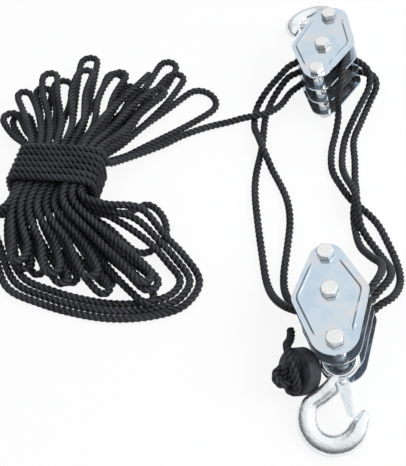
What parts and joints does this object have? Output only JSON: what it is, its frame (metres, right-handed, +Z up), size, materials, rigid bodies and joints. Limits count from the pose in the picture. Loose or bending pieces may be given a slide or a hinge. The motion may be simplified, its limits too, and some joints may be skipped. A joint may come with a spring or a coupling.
{
  "type": "block and tackle",
  "caption": "Rope tackle of two multi-sheave blocks with plated cheeks, latched swivel hooks, a reeved laid rope, a stopper and the spare rope tied in a hank, laid down flat.",
  "frame": {"origin": "on the ground, under the middle of the box round the two blocks and their hooks; the stopper and the rope, which lie on the same ground, aren't counted", "axes": "+Z up; +Y from the lower block towards the upper block along the tackle; +X to the right of that, away from the hank"},
  "size_m": [0.4765, 0.6332, 0.0818],
  "materials": {
    "plate_zinc": "satin bright zinc plate, slightly blue",
    "fastener_steel": "bright zinc-plated steel",
    "hook_steel": "polished and plated forging",
    "latch_zinc": "satin zinc-plated sheet",
    "sheave_black": "glossy black",
    "stopper_rubber": "matt, moulded",
    "rope_black": "three-strand laid rope, slightly glossy filaments"
  },
  "bodies": {
    "upper_block": {"upper_side_plate_1": "plate_zinc", "upper_side_plate_2": "plate_zinc", "upper_side_plate_3": "plate_zinc", "upper_side_plate_4": "plate_zinc", "upper_hook_bolt": "fastener_steel", "upper_hook_nut": "fastener_steel", "upper_axle_bolt": "fastener_steel", "upper_axle_nut": "fastener_steel", "upper_tail_bolt": "fastener_steel", "upper_tail_nut": "fastener_steel", "upper_hook_spacer_1": "fastener_steel", "upper_hook_spacer_2": "fastener_steel", "upper_hook_spacer_3": "fastener_steel", "upper_tail_spacer_1": "fastener_steel", "upper_tail_spacer_2": "fastener_steel", "upper_tail_spacer_3": "fastener_steel", "rope_hank": "rope_black", "rope_hank_wraps": "rope_black", "rope_hauling_part": "rope_black", "rope_run_1": "rope_black", "rope_run_2": "rope_black", "rope_run_3": "rope_black"},
    "upper_sheave_1": {"upper_sheave_1": "sheave_black"},
    "upper_sheave_2": {"upper_sheave_2": "sheave_black"},
    "upper_sheave_3": {"upper_sheave_3": "sheave_black"},
    "upper_hook": {"upper_hook": "hook_steel", "upper_latch_pin": "fastener_steel", "upper_latch_spring": "fastener_steel"},
    "upper_latch": {"upper_latch": "latch_zinc"},
    "lower_block": {"lower_side_plate_1": "plate_zinc", "lower_side_plate_2": "plate_zinc", "lower_side_plate_3": "plate_zinc", "lower_side_plate_4": "plate_zinc", "lower_hook_bolt": "fastener_steel", "lower_hook_nut": "fastener_steel", "lower_axle_bolt": "fastener_steel", "lower_axle_nut": "fastener_steel", "lower_tail_bolt": "fastener_steel", "lower_tail_nut": "fastener_steel", "lower_hook_spacer_1": "fastener_steel", "lower_hook_spacer_2": "fastener_steel", "lower_hook_spacer_3": "fastener_steel", "lower_tail_spacer_1": "fastener_steel", "lower_tail_spacer_2": "fastener_steel", "lower_tail_spacer_3": "fastener_steel", "rope_lower_turn_1": "rope_black", "rope_lower_turn_2": "rope_black", "rope_lower_turn_3": "rope_black", "stopper_disc": "stopper_rubber", "stopper_knot": "rope_black"},
    "lower_sheave_1": {"lower_sheave_1": "sheave_black"},
    "lower_sheave_2": {"lower_sheave_2": "sheave_black"},
    "lower_sheave_3": {"lower_sheave_3": "sheave_black"},
    "lower_hook": {"lower_hook": "hook_steel", "lower_latch_pin": "fastener_steel", "lower_latch_spring": "fastener_steel"},
    "lower_latch": {"lower_latch": "latch_zinc"}
  },
  "joints": [
    {"name": "lower_block_travel", "type": "slide", "parent": "upper_block", "child": "lower_block", "axis": [0.0591, 0.9983, 0], "range_m": [-0.025, 0.06], "deforming": ["rope_run_1", "rope_run_2", "rope_run_3"]},
    {"name": "upper_sheave_1_spin", "type": "hinge", "parent": "upper_block", "child": "upper_sheave_1", "pos_m": [0.01574, 0.17534, 0.02102], "axis": [-0.2572, 0.0608, 0.9644], "continuous": true},
    {"name": "upper_sheave_2_spin", "type": "hinge", "parent": "upper_block", "child": "upper_sheave_2", "pos_m": [0.01045, 0.17659, 0.04089], "axis": [-0.2572, 0.0608, 0.9644], "continuous": true},
    {"name": "upper_sheave_3_spin", "type": "hinge", "parent": "upper_block", "child": "upper_sheave_3", "pos_m": [0.00515, 0.17784, 0.06076], "axis": [-0.2572, 0.0608, 0.9644], "continuous": true},
    {"name": "upper_hook_swing", "type": "hinge", "parent": "upper_block", "child": "upper_hook", "pos_m": [0.02266, 0.22919, 0.04166], "axis": [-0.2572, 0.0608, 0.9644], "range_deg": [-88, 20]},
    {"name": "upper_latch_open", "type": "hinge", "parent": "upper_hook", "child": "upper_latch", "pos_m": [0.00783, 0.24929, 0.03044], "axis": [0.3522, -0.2441, -0.9035], "range_deg": [0, 38], "stiffness_Nm_per_rad": 0.05, "springref_deg": -22.92, "deforming": ["upper_latch_spring"]},
    {"name": "lower_sheave_1_spin", "type": "hinge", "parent": "lower_block", "child": "lower_sheave_1", "pos_m": [-0.00483, -0.17168, 0.02102], "axis": [-0.2643, -0.0028, 0.9644], "continuous": true},
    {"name": "lower_sheave_2_spin", "type": "hinge", "parent": "lower_block", "child": "lower_sheave_2", "pos_m": [-0.01028, -0.17174, 0.04089], "axis": [-0.2643, -0.0028, 0.9644], "continuous": true},
    {"name": "lower_sheave_3_spin", "type": "hinge", "parent": "lower_block", "child": "lower_sheave_3", "pos_m": [-0.01572, -0.1718, 0.06076], "axis": [-0.2643, -0.0028, 0.9644], "continuous": true},
    {"name": "lower_hook_swing", "type": "hinge", "parent": "lower_block", "child": "lower_hook", "pos_m": [-0.00992, -0.22574, 0.04166], "axis": [-0.2643, -0.0028, 0.9644], "range_deg": [0, 45]},
    {"name": "lower_latch_open", "type": "hinge", "parent": "lower_hook", "child": "lower_latch", "pos_m": [-0.00779, -0.25178, 0.03343], "axis": [0.3053, 0.3095, -0.9006], "range_deg": [0, 38], "stiffness_Nm_per_rad": 0.05, "springref_deg": -22.92, "deforming": ["lower_latch_spring"]}
  ]
}
